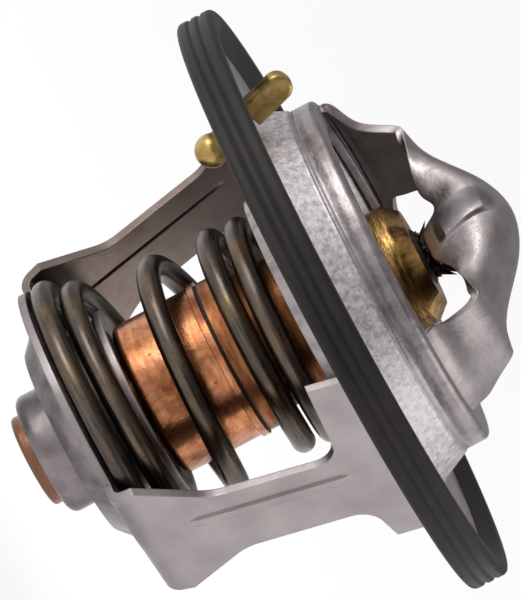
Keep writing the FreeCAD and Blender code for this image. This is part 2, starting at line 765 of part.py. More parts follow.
jiggle_pin = new_body("jiggle_pin")
ball_step = sheet.jiggle_shank_radius
ball_sketch = jiggle_pin.newObject("Sketcher::SketchObject", "BallProfile")
ball_sketch.AttachmentSupport = (origin_plane(jiggle_pin, "XZ_Plane"), [""])
ball_sketch.MapMode = "FlatFace"
ball_sketch.addGeometry(Part.ArcOfCircle(
    Part.Circle(FreeCAD.Vector(0, -4, 0), FreeCAD.Vector(0, 0, 1), 1.6), -math.pi / 2, math.pi / 2), False)
ball_sketch.addGeometry(Part.LineSegment(FreeCAD.Vector(0, -2.4, 0), FreeCAD.Vector(0, -5.6, 0)), False)
ball_sketch.addConstraint(Sketcher.Constraint("Coincident", 0, 2, 1, 1))
ball_sketch.addConstraint(Sketcher.Constraint("Coincident", 0, 1, 1, 2))
ball_sketch.addConstraint(Sketcher.Constraint("PointOnObject", 0, 3, -2))
ball_sketch.addConstraint(Sketcher.Constraint("PointOnObject", 1, 1, -2))
ball_sketch.addConstraint(Sketcher.Constraint("PointOnObject", 1, 2, -2))
index = ball_sketch.addConstraint(Sketcher.Constraint("DistanceY", -1, 1, 0, 3, -4))
ball_sketch.setExpression(f"Constraints[{index}]", "-Sizes.jiggle_ball_drop")
index = ball_sketch.addConstraint(Sketcher.Constraint("Radius", 0, 1.6))
ball_sketch.setExpression(f"Constraints[{index}]", "Sizes.jiggle_ball_radius")
ball = jiggle_pin.newObject("PartDesign::Revolution", "Ball")
ball.Profile = ball_sketch
ball.ReferenceAxis = (ball_sketch, ["V_Axis"])
ball.Angle = 360
doc.recompute()
turned(jiggle_pin, "Shank", [
    ("0", "-jiggle_ball_drop"),
    ("jiggle_shank_radius", "-jiggle_ball_drop"),
    ("jiggle_shank_radius", "paddle_drop + jiggle_shank_radius"),
    ("0", "paddle_drop + jiggle_shank_radius"),
])
paddle_sketch = outline(jiggle_pin, "PaddleOutline", "XZ_Plane", [[
    ("-paddle_width / 2", "paddle_drop"),
    ("paddle_width / 2", "paddle_drop"),
    ("paddle_width / 2", "paddle_drop + paddle_length"),
    ("-paddle_width / 2", "paddle_drop + paddle_length"),
]])
paddle = jiggle_pin.newObject("PartDesign::Pad", "Paddle")
paddle.Profile = paddle_sketch
paddle.Midplane = True
paddle.setExpression("Length", "Sizes.paddle_wall")
doc.recompute()
paddle_end = sheet.paddle_drop + sheet.paddle_length
paddle_tips = [FreeCAD.Vector(side * sheet.paddle_width / 2, 0, paddle_end) for side in (-1, 1)]
round_edges(jiggle_pin, "PaddleTip", straight_edges(jiggle_pin.Shape, along_y, paddle_tips), "paddle_width * 0.45")
rim_places = [FreeCAD.Vector(0, side * sheet.paddle_wall / 2, 0) for side in (-1, 1)]
rim_edges = []
for number, edge in enumerate(jiggle_pin.Shape.Edges, start=1):
    middle = edge.BoundBox
    if middle.ZMin > sheet.paddle_drop - 0.01 and middle.YLength < 0.001 and edge.Length > sheet.paddle_edge:
        if any(abs(middle.Center.y - place.y) < 0.001 for place in rim_places):
            rim_edges.append(f"Edge{number}")
round_edges(jiggle_pin, "PaddleEdge", rim_edges, "paddle_edge")

turn = FreeCAD.Rotation(FreeCAD.Vector(0, 0, 1), sheet.jiggle_angle)
lean = FreeCAD.Rotation(FreeCAD.Vector(0, 1, 0), sheet.jiggle_lean)
reach = turn.multVec(FreeCAD.Vector(sheet.jiggle_distance, 0, 0))
jiggle_pin.Placement = FreeCAD.Placement(reach, turn.multiply(lean))

doc.recompute()


# Every piece is checked before the files are written

PIECES = [
    flange_body, seal_ring, lower_frame, spring_guide, main_spring, piston, backup_plate, rubber_plug,
    valve_plate, guide_body, brass_cap, piston_wiper, transfer_fluid, diaphragm, element_cup, wax_charge,
    jiggle_pin,
]

for item in doc.Objects:
    if "Invalid" in item.State or "Error" in item.State:
        raise RuntimeError("failed object " + item.Name)
for piece in PIECES:
    if piece.Shape.isNull() or not piece.Shape.isValid():
        raise RuntimeError("bad shape " + piece.Label)
    if len(piece.Shape.Solids) != 1:
        raise RuntimeError(piece.Label + " is not one solid")

os.makedirs("parts", exist_ok=True)
for piece in PIECES:
    piece.Shape.exportStep("parts/" + piece.Label + ".step")
    print(piece.Label, round(piece.Shape.Volume, 2))
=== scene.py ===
import math

import bpy
from mathutils import Matrix, Vector


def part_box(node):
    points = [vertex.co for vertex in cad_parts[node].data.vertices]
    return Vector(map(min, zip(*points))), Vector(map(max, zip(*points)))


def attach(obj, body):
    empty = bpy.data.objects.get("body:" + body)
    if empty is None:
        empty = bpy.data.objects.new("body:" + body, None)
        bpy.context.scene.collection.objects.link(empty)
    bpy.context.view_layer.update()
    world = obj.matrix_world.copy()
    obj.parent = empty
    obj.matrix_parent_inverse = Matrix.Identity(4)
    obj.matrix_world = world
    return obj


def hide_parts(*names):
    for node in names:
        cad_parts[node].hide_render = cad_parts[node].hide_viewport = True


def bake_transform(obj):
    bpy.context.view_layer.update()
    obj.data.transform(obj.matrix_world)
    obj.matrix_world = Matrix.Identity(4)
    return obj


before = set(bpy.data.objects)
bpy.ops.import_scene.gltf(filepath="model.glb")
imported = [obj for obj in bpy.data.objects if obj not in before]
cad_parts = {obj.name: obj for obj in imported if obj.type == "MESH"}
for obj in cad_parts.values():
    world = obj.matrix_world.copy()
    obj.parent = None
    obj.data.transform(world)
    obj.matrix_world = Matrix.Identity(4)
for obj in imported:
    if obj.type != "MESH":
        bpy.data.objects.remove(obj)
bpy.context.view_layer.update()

MM = 0.001


# Colour and nodes

def colour(hex_code):
    """Linear colour of an sRGB hex value."""
    parts = [int(hex_code[k:k + 2], 16) / 255 for k in (0, 2, 4)]
    return [v / 12.92 if v <= 0.04045 else ((v + 0.055) / 1.055) ** 2.4 for v in parts] + [1.0]


def add(tree, kind, settings=None, **links):
    """One node with its settings, and its inputs linked or set by name or by number (i0, i1)."""
    node = tree.nodes.new(kind)
    for key, value in (settings or {}).items():
        setattr(node, key, value)
    for key, value in links.items():
        name = key.replace("_", " ")
        slot = [socket for socket in node.inputs if socket.name == name and socket.enabled]
        slot = node.inputs[int(key[1:])] if key[1:].isdigit() else slot[0]
        if isinstance(value, bpy.types.Node):
            value = [socket for socket in value.outputs if socket.enabled][0]
        if isinstance(value, bpy.types.NodeSocket):
            tree.links.new(value, slot)
        else:
            slot.default_value = value
    return node


NOISE = "ShaderNodeTexNoise"
RANGE = "ShaderNodeMapRange"
SUM = "ShaderNodeMath"
ARROW = "ShaderNodeVectorMath"
MIX = "ShaderNodeMix"
RGBA = {"data_type": "RGBA"}
SOFT = {"interpolation_type": "SMOOTHSTEP"}


def new_material(name):
    material = bpy.data.materials.new(name)
    material.use_nodes = True
    tree = material.node_tree
    tree.nodes.clear()
    return material, tree


# Camera at the photograph's view: the valve axis runs up to the right, and at the flange it lies right
# of the picture's middle and a little above it. Lengths are in mm, the distance in metres.

ROLL = math.radians(27.8)
TILT = math.radians(4.5)
LEG_TURN = math.radians(137)
VIEW_DISTANCE = 0.8
PIXELS_PER_MM = 10.63
IMAGE_HEIGHT = 600
SENSOR = 36.0
AIM_HEIGHT = 1.8
AIM_RIGHT = 9.36
AIM_UP = 0.94


def place_camera():
    side = Vector((math.cos(LEG_TURN), -math.sin(LEG_TURN), 0))
    front = Vector((math.sin(LEG_TURN), math.cos(LEG_TURN), 0))
    axis = Vector((0, 0, 1))
    right = (-side * math.sin(ROLL) - front * math.sin(TILT) * math.cos(ROLL)
             + axis * math.cos(ROLL) * math.cos(TILT))
    up = (side * math.cos(ROLL) - front * math.sin(TILT) * math.sin(ROLL)
          + axis * math.sin(ROLL) * math.cos(TILT))
    back = front * math.cos(TILT) + axis * math.sin(TILT)
    target = (axis * AIM_HEIGHT - right * AIM_RIGHT - up * AIM_UP) * MM
    data = bpy.data.cameras.new("camera")
    data.sensor_width = SENSOR
    data.lens = PIXELS_PER_MM / MM * VIEW_DISTANCE / IMAGE_HEIGHT * SENSOR
    data.clip_start = 0.01
    data.clip_end = 50
    camera = bpy.data.objects.new("camera", data)
    turn = Matrix((right, up, back)).transposed()
    camera.matrix_world = Matrix.Translation(target + back * VIEW_DISTANCE) @ turn.to_4x4()
    bpy.context.collection.objects.link(camera)
    bpy.context.scene.camera = camera
    return right, up, back


RIGHT, UP, BACK = place_camera()


# Light: two soft lamps, white paper, and a sky with soft lobes

def from_camera(direction):
    """Unit vector of a direction given in the camera's axes: right, up and towards the camera."""
    return (RIGHT * direction[0] + UP * direction[1] + BACK * direction[2]).normalized()


def soft_lamp(name, direction, distance, size, power):
    """Square lamp that looks at the object from a direction given in the camera's axes."""
    data = bpy.data.lights.new(name, "AREA")
    data.size = size
    data.energy = power
    lamp = bpy.data.objects.new(name, data)
    aim = from_camera(direction)
    lamp.matrix_world = Matrix.Translation(aim * distance) @ aim.to_track_quat("Z", "Y").to_matrix().to_4x4()
    bpy.context.collection.objects.link(lamp)


# Distances and sizes in metres, power in watts
soft_lamp("key_lamp", (-0.5, 0.8, 0.5), distance=0.6, size=0.34, power=2.0)
soft_lamp("fill_lamp", (0.85, -0.55, 0.25), distance=0.8, size=0.6, power=1.0)

# Aims in the camera's axes; a lobe grows from its start to its end, which are cosines with the aim
SKY_LEVEL = 0.4
SKY_LOBES = (
    {"aim": (-0.45, 0.8, 0.4), "start": 0.35, "end": 0.95, "gain": 0.8},
    {"aim": (0.55, -0.82, -0.1), "start": 0.45, "end": 0.95, "gain": 0.75},
    {"aim": (0.3, -0.5, 0.8), "start": 0.68, "end": 0.97, "gain": -0.34},
)

# The floor's size is in metres and its height in mm
FLOOR_SIZE = 30
FLOOR_HEIGHT = -42.5
PAPER_GLOW = 0.48


def sky():
    """Even pale sky, brighter at the upper left and lower right, and darker by the camera."""
    world = bpy.data.worlds.new("studio")
    bpy.context.scene.world = world
    world.use_nodes = True
    tree = world.node_tree
    tree.nodes.clear()
    way = add(tree, "ShaderNodeTexCoord").outputs["Generated"]
    level = SKY_LEVEL
    for lobe in SKY_LOBES:
        side = from_camera(lobe["aim"])
        share = add(tree, ARROW, {"operation": "DOT_PRODUCT"}, i0=way, i1=side).outputs["Value"]
        light = add(tree, RANGE, SOFT, Value=share, From_Min=lobe["start"], From_Max=lobe["end"], To_Min=0.0,
                    To_Max=lobe["gain"])
        level = add(tree, SUM, {"operation": "ADD"}, i0=light, i1=level)
    shader = add(tree, "ShaderNodeBackground", Color=colour("f4f2f3"), Strength=level)
    add(tree, "ShaderNodeOutputWorld", Surface=shader)


def paper_floor():
    """White paper that keeps the shadow and shows white to the camera, to metal and to glass."""
    bpy.ops.mesh.primitive_plane_add(size=FLOOR_SIZE, location=(0, 0, FLOOR_HEIGHT * MM))
    floor = bpy.context.object
    floor.name = "floor"
    material, tree = new_material("matt_white_paper")
    path = add(tree, "ShaderNodeLightPath").outputs
    seen = add(tree, SUM, {"operation": "MAXIMUM"}, i0=path["Is Camera Ray"], i1=path["Is Glossy Ray"])
    seen = add(tree, SUM, {"operation": "MAXIMUM"}, i0=seen, i1=path["Is Transmission Ray"])
    paper = add(tree, "ShaderNodeBsdfDiffuse", Color=colour("f4f4f4"))
    glow = add(tree, "ShaderNodeEmission", Color=(1, 1, 1, 1), Strength=add(
        tree, SUM, {"operation": "MULTIPLY"}, i0=seen, i1=PAPER_GLOW))
    both = add(tree, "ShaderNodeAddShader", i0=paper, i1=glow)
    add(tree, "ShaderNodeOutputMaterial", Surface=both)
    floor.data.materials.append(material)


sky()
paper_floor()
bpy.context.scene.view_settings.view_transform = "Standard"


# Patterns, in real millimetres on the part

def in_mm(tree, stretch=(1, 1, 1)):
    """Object coordinates in millimetres, stretched per axis."""
    place = add(tree, "ShaderNodeTexCoord").outputs["Object"]
    return add(tree, ARROW, {"operation": "MULTIPLY"}, i0=place, i1=[factor / MM for factor in stretch])


def round_the_axis(tree, turns, lines):
    """Coordinates that change slowly round the valve axis and quickly across it."""
    place = add(tree, "ShaderNodeTexCoord").outputs["Object"]
    flat = add(tree, ARROW, {"operation": "MULTIPLY"}, i0=place, i1=(1, 1, 0))
    reach = add(tree, ARROW, {"operation": "LENGTH"}, i0=flat).outputs["Value"]
    aim = add(tree, ARROW, {"operation": "NORMALIZE"}, i0=flat)
    slow = add(tree, ARROW, {"operation": "SCALE"}, i0=aim, Scale=turns)
    height = add(tree, "ShaderNodeSeparateXYZ", i0=place).outputs["Z"]
    both = add(tree, SUM, {"operation": "ADD"}, i0=reach, i1=height)
    quick = add(tree, SUM, {"operation": "MULTIPLY"}, i0=both, i1=lines / MM)
    return add(tree, ARROW, {"operation": "ADD"}, i0=slow, i1=add(tree, "ShaderNodeCombineXYZ", Z=quick))


def along_the_axis(tree, turns, lines):
    """Coordinates for marks that run up the wall: quick round the axis, slow along it."""
    place = add(tree, "ShaderNodeTexCoord").outputs["Object"]
    flat = add(tree, ARROW, {"operation": "MULTIPLY"}, i0=place, i1=(1, 1, 0))
    aim = add(tree, ARROW, {"operation": "NORMALIZE"}, i0=flat)
    quick = add(tree, ARROW, {"operation": "SCALE"}, i0=aim, Scale=turns)
    height = add(tree, "ShaderNodeSeparateXYZ", i0=place).outputs["Z"]
    slow = add(tree, SUM, {"operation": "MULTIPLY"}, i0=height, i1=lines / MM)
    return add(tree, ARROW, {"operation": "ADD"}, i0=quick, i1=add(tree, "ShaderNodeCombineXYZ", Z=slow))


def two_tone(tree, pattern, low, high, first, second, most=1.0):
    """First colour where the pattern is low, second where it is high, up to the greatest share."""
    share = add(tree, RANGE, Value=pattern, From_Min=low, From_Max=high, To_Max=most)
    return add(tree, MIX, RGBA, Factor=share, A=first, B=second)


def both_of(tree, first, second):
    """Product of two shares."""
    return add(tree, SUM, {"operation": "MULTIPLY"}, i0=first, i1=second)


def band(tree, place, edges, settings=None):
    """Share that is 1 between the inner two of four edges and 0 beyond the outer two."""
    start, full, fade, end = edges
    return both_of(tree, add(tree, RANGE, settings, Value=place, From_Min=start, From_Max=full),
                   add(tree, RANGE, settings, Value=place, From_Min=end, From_Max=fade))


def finish_material(tree, base, rough, metal=1.0, relief=(), edge=0.12, specular=0.5):
    """Principled surface with softened edges and its relief, given as heights with depths in mm."""
    normal = add(tree, "ShaderNodeBevel", {"samples": 4}, Radius=edge * MM)
    for height, depth in relief:
        normal = add(tree, "ShaderNodeBump", Strength=1.0, Distance=depth * MM, Height=height, Normal=normal)
    shader = add(tree, "ShaderNodeBsdfPrincipled", Metallic=metal, Normal=normal, Base_Color=base,
                 Roughness=rough, Specular_IOR_Level=specular)
    add(tree, "ShaderNodeOutputMaterial", Surface=shader)


# Where each finish of the stampings lies on the part, in mm

CONE = (0.3, 0.6, 3.5, 3.9)
COLLAR_LIP = (3.45, 3.7, 3.85, 4.25)
COLLAR_SWELL = (4.2, 5.2)
STAINED_WALL = (7.2, 6.2)
FAR_LEG_SIDE = (-11.5, -13.5)
FAR_LEG_HEIGHT = (6.5, 8.0)
FOLD_ACROSS = (0.2, 3.1, 3.3, 4.2)
FOLD_HEIGHT = (10.6, 11.6, 15.8, 17.2)
FOLD_LEAN = 0.16
DRAWN_CUP = (-24.5, -28.0)
# Where the strip's far leg gets a painted brown reflection of the brass and copper parts
FAR_LEG_REFLECTION = (-7.0, -11.0)
# The copper cup turns browner towards its lower end
BROWNER_END = (-31.0, -32.5)


# Materials

def pressed_fold(tree):
    """Height of the fold that the press leaves on each side of the bridge where it is pinched."""
    parts = add(tree, "ShaderNodeSeparateXYZ", i0=in_mm(tree)).outputs
    across = add(tree, SUM, {"operation": "MULTIPLY_ADD"}, i0=parts["Z"], i1=FOLD_LEAN, i2=parts["X"])
    fold = band(tree, across, FOLD_ACROSS, SOFT)
    return both_of(tree, fold, band(tree, parts["Z"], FOLD_HEIGHT, SOFT))


def pressed_stainless():
    """Pressed stainless sheet: warm grey satin, stained and scratched up the wall, frosted on the cone."""
    material, tree = new_material("pressed_stainless_sheet")
    place = in_mm(tree)
    parts = add(tree, "ShaderNodeSeparateXYZ", i0=place).outputs
    height = parts["Z"]
    cloudy = add(tree, NOISE, Vector=place, Scale=0.3, Detail=5.0, Roughness=0.6)
    grain = add(tree, NOISE, Vector=place, Scale=3.0, Detail=4.0, Roughness=0.65)
    marks = add(tree, NOISE, Vector=along_the_axis(tree, 60.0, 0.25), Scale=1.0, Detail=4.0, Roughness=0.6)
    stain = add(tree, NOISE, Vector=along_the_axis(tree, 9.0, 0.3), Scale=1.0, Detail=5.0, Roughness=0.65)
    flecks = add(tree, NOISE, Vector=place, Scale=1.6, Detail=6.0, Roughness=0.7)
    cone = band(tree, height, CONE)

    satin = two_tone(tree, cloudy, 0.35, 0.68, colour("978f8f"), colour("b4acac"))
    low_wall = add(tree, RANGE, Value=height, From_Min=STAINED_WALL[0], From_Max=STAINED_WALL[1])
    stained = add(tree, RANGE, Value=stain, From_Min=0.48, From_Max=0.72, To_Max=0.65)
    stained = both_of(tree, stained, low_wall)
    satin = add(tree, MIX, RGBA, Factor=stained, A=satin, B=colour("6f6767"))
    frost = two_tone(tree, flecks, 0.38, 0.62, colour("b6b0b2"), colour("ebe7e9"))
    base = add(tree, MIX, RGBA, Factor=cone, A=satin, B=frost)

    satin_rough = add(tree, RANGE, Value=cloudy, From_Min=0.3, From_Max=0.7, To_Min=0.3, To_Max=0.42)
    frost_rough = add(tree, RANGE, Value=flecks, From_Min=0.35, From_Max=0.65, To_Min=0.38, To_Max=0.6)
    rough = add(tree, MIX, Factor=cone, A=satin_rough, B=frost_rough)
    far_leg = both_of(
        tree,
        add(tree, RANGE, SOFT, Value=parts["X"], From_Min=FAR_LEG_SIDE[0], From_Max=FAR_LEG_SIDE[1]),
        add(tree, RANGE, SOFT, Value=height, From_Min=FAR_LEG_HEIGHT[0], From_Max=FAR_LEG_HEIGHT[1]))
    rough = add(tree, MIX, Factor=far_leg, A=rough, B=0.6)

    pits = both_of(tree, flecks, cone)
    lip = band(tree, height, COLLAR_LIP, SOFT)
    swell = add(tree, RANGE, SOFT, Value=height, From_Min=COLLAR_SWELL[0], From_Max=COLLAR_SWELL[1])
    finish_material(tree, base, rough, relief=[
        (cloudy, 0.13), (marks, 0.013), (grain, 0.006), (pits, 0.07), (lip, 0.14), (swell, 0.08),
        (pressed_fold(tree), 0.85)], edge=0.2)
    return material


def strip_stainless():
    """Rolled stainless strip: light satin with fine lines, a painted brown reflection on the far leg, and the
    drawn cup painted darker as shade, with blotches.
    """
    material, tree = new_material("rolled_stainless_strip")
    place = in_mm(tree)
    parts = add(tree, "ShaderNodeSeparateXYZ", i0=place).outputs
    height = parts["Z"]
    lines = add(tree, NOISE, Vector=in_mm(tree, (6, 6, 0.25)), Scale=1.0, Detail=4.0, Roughness=0.6)
    cloudy = add(tree, NOISE, Vector=place, Scale=0.22, Detail=4.0)
    blotch = add(tree, NOISE, Vector=place, Scale=0.2, Detail=3.0, Roughness=0.5)
    drawn = add(tree, RANGE, SOFT, Value=height, From_Min=DRAWN_CUP[0], From_Max=DRAWN_CUP[1])

    light = two_tone(tree, cloudy, 0.3, 0.7, colour("9d9595"), colour("b0a8a8"))
    # The drawn cup: darker tone painted as shade in place of its dark reflections, mottled by blotches
    dull = two_tone(tree, blotch, 0.4, 0.62, colour("5f5858"), colour("8f8787"))
    # Far leg: brown patches painted as the reflection of the brass and copper parts
    painted_far_leg_reflection = both_of(
        tree,
        add(tree, RANGE, SOFT, Value=parts["X"], From_Min=FAR_LEG_REFLECTION[0], From_Max=FAR_LEG_REFLECTION[1]),
        add(tree, RANGE, Value=blotch, From_Min=0.3, From_Max=0.6, To_Min=0.7))
    light = add(tree, MIX, RGBA, Factor=painted_far_leg_reflection, A=light, B=colour("7c6f67"))
    base = add(tree, MIX, RGBA, Factor=drawn, A=light, B=dull)

    rolled = add(tree, RANGE, Value=lines, From_Min=0.3, From_Max=0.7, To_Min=0.3, To_Max=0.44)
    rubbed = add(tree, RANGE, Value=blotch, From_Min=0.35, From_Max=0.65, To_Min=0.38, To_Max=0.26)
    rough = add(tree, MIX, Factor=drawn, A=rolled, B=rubbed)
    finish_material(tree, base, rough, relief=[(cloudy, 0.1), (lines, 0.01)], edge=0.2)
    return material


def drawn_wire():
    """Oil tempered spring wire: dark, with bronze patches painted in as warm reflections, and drawing lines
    along the wire.
    """
    material, tree = new_material("oil_tempered_wire")
    along = add(tree, "ShaderNodeAttribute", {"attribute_name": "along"}).outputs["Fac"]
    around = add(tree, "ShaderNodeAttribute", {"attribute_name": "around"}).outputs["Vector"]
    quick = add(tree, ARROW, {"operation": "SCALE"}, i0=around, Scale=3.0)
    slow = add(tree, SUM, {"operation": "MULTIPLY"}, i0=along, i1=0.12 / MM)
    slow = add(tree, "ShaderNodeCombineXYZ", Z=slow)
    line_place = add(tree, ARROW, {"operation": "ADD"}, i0=quick, i1=slow)
    lines = add(tree, NOISE, Vector=line_place, Scale=1.6, Detail=4.0, Roughness=0.6)
    patches = add(tree, NOISE, Vector=in_mm(tree), Scale=0.25, Detail=4.0)
    specks = add(tree, NOISE, Vector=in_mm(tree), Scale=2.4, Detail=3.0, Roughness=0.7)
    dark = two_tone(tree, lines, 0.32, 0.68, colour("3f3935"), colour("6d635b"))
    # Bronze patches: painted bronze-brown reflection
    lines_with_painted_bronze = two_tone(tree, patches, 0.45, 0.7, dark, colour("77654f"))
    base = two_tone(tree, specks, 0.6, 0.72, lines_with_painted_bronze, colour("3b3431"), most=0.7)
    rough = add(tree, RANGE, Value=lines, From_Min=0.3, From_Max=0.7, To_Min=0.24, To_Max=0.4)
    finish_material(tree, base, rough, relief=[(lines, 0.02), (specks, 0.006)], edge=0.1)
    return material


def worked_brass(name, dark, light, line_gap, rough_low, rough_high, depth):
    """Turned or drawn brass: tool lines round the axis, with bright and dark streaks along them painted into
    the colour as highlights and shade.
    """
    material, tree = new_material(name)
    line_place = round_the_axis(tree, 2.0, 1 / line_gap)
    lines = add(tree, NOISE, Vector=line_place, Scale=1.0, Detail=5.0, Roughness=0.65)
    patches = add(tree, NOISE, Vector=in_mm(tree), Scale=0.45, Detail=4.0)
    # Bright and dark colour streaks along the tool lines: painted highlights and painted shade
    tool_lines_with_painted_light = two_tone(tree, lines, 0.36, 0.64, colour(dark), colour(light))
    base = two_tone(tree, patches, 0.42, 0.8, tool_lines_with_painted_light, colour(dark), most=0.6)
    rough = add(tree, RANGE, Value=lines, From_Min=0.36, From_Max=0.64, To_Min=rough_high, To_Max=rough_low)
    finish_material(tree, base, rough, relief=[(lines, depth)], edge=0.15)
    return material


def upset_brass():
    """Brass wire with its ends pressed flat and round: pale, smooth, with faint die marks."""
    material, tree = new_material("upset_brass_wire")
    cloudy = add(tree, NOISE, Vector=in_mm(tree), Scale=0.8, Detail=4.0)
    base = two_tone(tree, cloudy, 0.35, 0.65, colour("a1834a"), colour("c9ae72"))
    rough = add(tree, RANGE, Value=cloudy, From_Min=0.3, From_Max=0.7, To_Min=0.28, To_Max=0.4)
    finish_material(tree, base, rough, relief=[(cloudy, 0.08)], edge=0.3)
    return material


def drawn_copper():
    """Deep drawn copper: warm orange, soft drawing lines, dark oxide blotches, and browner towards its lower
    end.
    """
    material, tree = new_material("drawn_copper")
    place = in_mm(tree)
    height = add(tree, "ShaderNodeSeparateXYZ", i0=place).outputs["Z"]
    lines = add(tree, NOISE, Vector=round_the_axis(tree, 3.0, 1.6), Scale=1.0, Detail=4.0)
    oxide = add(tree, NOISE, Vector=place, Scale=0.3, Detail=5.0, Roughness=0.62, Distortion=0.3)
    specks = add(tree, NOISE, Vector=place, Scale=1.8, Detail=3.0, Roughness=0.6)
    warm = two_tone(tree, lines, 0.3, 0.7, colour("b06c44"), colour("d6986e"))
    dull = two_tone(tree, oxide, 0.42, 0.66, warm, colour("7a4830"))
    spotted = two_tone(tree, specks, 0.66, 0.73, dull, colour("4e2f22"), most=0.8)
    base = two_tone(tree, height, BROWNER_END[0], BROWNER_END[1], spotted, colour("7d5a48"))
    rough = add(tree, RANGE, Value=oxide, From_Min=0.35, From_Max=0.7, To_Min=0.2, To_Max=0.34)
    finish_material(tree, base, rough, relief=[(lines, 0.01), (oxide, 0.05), (specks, 0.01)], edge=0.15)
    return material


def moulded_rubber(name, dark, light):
    """Moulded rubber: near black, matt, with a faint warm grey bloom along the mould."""
    material, tree = new_material(name)
    bloom = add(tree, NOISE, Vector=round_the_axis(tree, 4.0, 0.35), Scale=1.0, Detail=5.0, Roughness=0.6)
    grain = add(tree, NOISE, Vector=in_mm(tree), Scale=5.0, Detail=2.0)
    base = two_tone(tree, bloom, 0.35, 0.72, colour(dark), colour(light))
    rough = add(tree, RANGE, Value=bloom, From_Min=0.3, From_Max=0.7, To_Min=0.46, To_Max=0.62)
    finish_material(tree, base, rough, metal=0.0, relief=[(grain, 0.015)], edge=0.15, specular=0.25)
    return material


def plain_finish(name, dark, light, rough, metal):
    """Small hidden or half hidden piece: one tone with a fine grain."""
    material, tree = new_material(name)
    grain = add(tree, NOISE, Vector=in_mm(tree), Scale=2.0, Detail=4.0)
    base = add(tree, MIX, RGBA, Factor=grain, A=colour(dark), B=colour(light))
    finish_material(tree, base, rough, metal=metal, relief=[(grain, 0.01)], edge=0.08)
    return material


SHEET = pressed_stainless()
STRIP = strip_stainless()
WIRE = drawn_wire()

# Golden, with strong bright and dark streaks along the turning tool's lines, painted into the colour as
# highlights and shade
CAP_BRASS = worked_brass("turned_brass", "4e3720", "e0b26c", line_gap=0.5, rough_low=0.2, rough_high=0.44,
                         depth=0.12)

# Redder and duller, nearly smooth from the press
SKIRT_BRASS = worked_brass("pressed_red_brass", "74452b", "a87048", line_gap=0.6, rough_low=0.34,
                           rough_high=0.48, depth=0.012)
PIN_BRASS = upset_brass()
COPPER = drawn_copper()
SEAL_RUBBER = moulded_rubber("moulded_nitrile_rubber", "211e1d", "35312f")
INNER_RUBBER = moulded_rubber("black_silicone_rubber", "1c1a19", "2c2927")

# Ground steel pin painted nearly black, partly its dark steel and partly painted shade of the hollow under
# the bridge, with a soft sheen
SHADED_DARK_STEEL = plain_finish("dark_steel_with_painted_shade", "1d1917", "4a423e", rough=0.36, metal=1.0)

# White sintered plastic, grease and copper filled wax, all hidden inside the element
BACKUP_PLASTIC = plain_finish("white_ptfe", "dedcd6", "eae8e2", rough=0.45, metal=0.0)
GREASE = plain_finish("silicone_grease", "d2cec2", "dcd8cc", rough=0.3, metal=0.0)
WAX = plain_finish("copper_filled_wax", "9a5e3c", "b0704a", rough=0.5, metal=0.0)

FINISH = {
    "flange_body": SHEET, "valve_plate": SHEET, "lower_frame": STRIP, "spring_guide": STRIP,
    "piston": SHADED_DARK_STEEL, "backup_plate": BACKUP_PLASTIC, "seal_ring": SEAL_RUBBER,
    "rubber_plug": INNER_RUBBER, "diaphragm": INNER_RUBBER, "piston_wiper": INNER_RUBBER,
    "main_spring": WIRE, "guide_body": SKIRT_BRASS, "brass_cap": CAP_BRASS, "jiggle_pin": PIN_BRASS,
    "element_cup": COPPER, "wax_charge": WAX, "transfer_fluid": GREASE,
}
for name, material in FINISH.items():
    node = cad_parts[name]
    node.data.materials.clear()
    node.data.materials.append(material)


# Main spring: the CAD's line of the wire with its first two turns let down, swept and ground flat at
# both ends by Geometry Nodes. Lengths are in mm.

TURNS = 4.7
WIRE_RADIUS = 1.15
SEAT_GAP = 0.02
BASE_TOP = -26.15
UPPER_SEAT = -4.0
SPRING_LOW = BASE_TOP + WIRE_RADIUS + SEAT_GAP
SPRING_HIGH = UPPER_SEAT - WIRE_RADIUS - SEAT_GAP
CLOSED_PITCH = 2.4
BASE_RADIUS = 13.7
RADIUS_LOSS = 3.2
SPRING_START = math.radians(25)
LEAN_SIDE = math.radians(-137)
SPRING_LEAN = 0.8
SPRING_BOW = 0.5
FIRST_DIP = 0.75
SECOND_DIP = 0.7
DIP_TURNS = 0.95
WIRE_STEPS = 420
WIRE_SIDES = 28


def ease(value, start, end):
    """Smooth step from 0 at the start to 1 at the end."""
    share = min(max((value - start) / (end - start), 0), 1)
    return share * share * (3 - 2 * share)


def dip(turn, start):
    """Smooth hump from 0 to 1 and back over the turns that are let down."""
    return math.sin(math.pi * min(max(turn - start, 0) / DIP_TURNS, 1)) ** 2


def spring_point(turn):
    """Middle of the wire, in millimetres, after this many turns from the base."""
    free = SPRING_HIGH - SPRING_LOW - CLOSED_PITCH * TURNS
    rise = SPRING_LOW + CLOSED_PITCH * turn + free * ease(turn, TURNS * 0.234, TURNS * 0.723)
    radius = BASE_RADIUS - RADIUS_LOSS * ease(turn, TURNS * 0.04, TURNS * 0.56)
    angle = SPRING_START - 2 * math.pi * turn
    middle = math.sin(math.pi * turn / TURNS) ** 2
    rise -= SPRING_LEAN * middle * math.cos(angle - LEAN_SIDE)
    rise -= FIRST_DIP * dip(turn, 0)
    rise -= SECOND_DIP * dip(turn, 1)
    bow = SPRING_BOW * middle
    return Vector((radius * math.cos(angle) + bow * math.cos(LEAN_SIDE),
                   radius * math.sin(angle) + bow * math.sin(LEAN_SIDE), rise))


def new_node_group(name, **inputs):
    """Geometry node tree with a start mesh and named inputs, given as their kinds of socket."""
    tree = bpy.data.node_groups.new(name, "GeometryNodeTree")
    face = tree.interface
    face.new_socket("Start", in_out="INPUT", socket_type="NodeSocketGeometry")
    for key, kind in inputs.items():
        face.new_socket(key.replace("_", " "), in_out="INPUT", socket_type="NodeSocket" + kind)
    face.new_socket("Result", in_out="OUTPUT", socket_type="NodeSocketGeometry")
    return tree, add(tree, "NodeGroupInput").outputs


